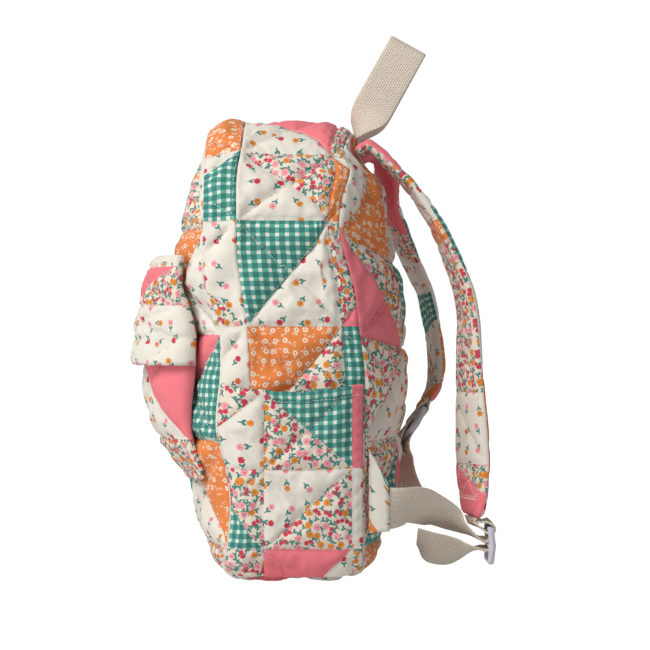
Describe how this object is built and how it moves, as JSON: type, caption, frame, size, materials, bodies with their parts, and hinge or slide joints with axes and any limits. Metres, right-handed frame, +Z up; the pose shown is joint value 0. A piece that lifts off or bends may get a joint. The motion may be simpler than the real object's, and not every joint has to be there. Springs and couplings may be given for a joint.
{
  "type": "kids backpack",
  "caption": "Quilted patchwork kids backpack with a flap pocket in front, slip pockets at the sides, padded shoulder straps on sliders and a top handle.",
  "frame": {"origin": "on the flat middle of the bag's bottom, below the middle of its width and of its depth", "axes": "+Z up, +X to the wearer's right, -Y to the front pocket, +Y to the shoulder straps"},
  "size_m": [0.2879, 0.2679, 0.3946],
  "materials": {
    "quilted_cotton": "quilted printed cotton patchwork",
    "cotton_webbing": "woven beige webbing",
    "slider_plastic": "translucent lavender-white, softly glossy",
    "zip_tape": "greyish-beige woven tape"
  },
  "bodies": {
    "root": {"front_shell": "quilted_cotton", "rear_shell": "quilted_cotton", "zip_tape": "zip_tape", "front_pocket": "quilted_cotton", "pocket_flap": "quilted_cotton", "side_pocket_right": "quilted_cotton", "side_pocket_left": "quilted_cotton", "shoulder_strap_right": "quilted_cotton", "shoulder_strap_left": "quilted_cotton", "strap_tab_right": "quilted_cotton", "strap_tab_left": "quilted_cotton", "strap_loop_right": "cotton_webbing", "strap_loop_left": "cotton_webbing", "webbing_right": "cotton_webbing", "webbing_left": "cotton_webbing", "top_handle": "cotton_webbing", "slider_right": "slider_plastic", "slider_left": "slider_plastic"}
  },
  "joints": []
}
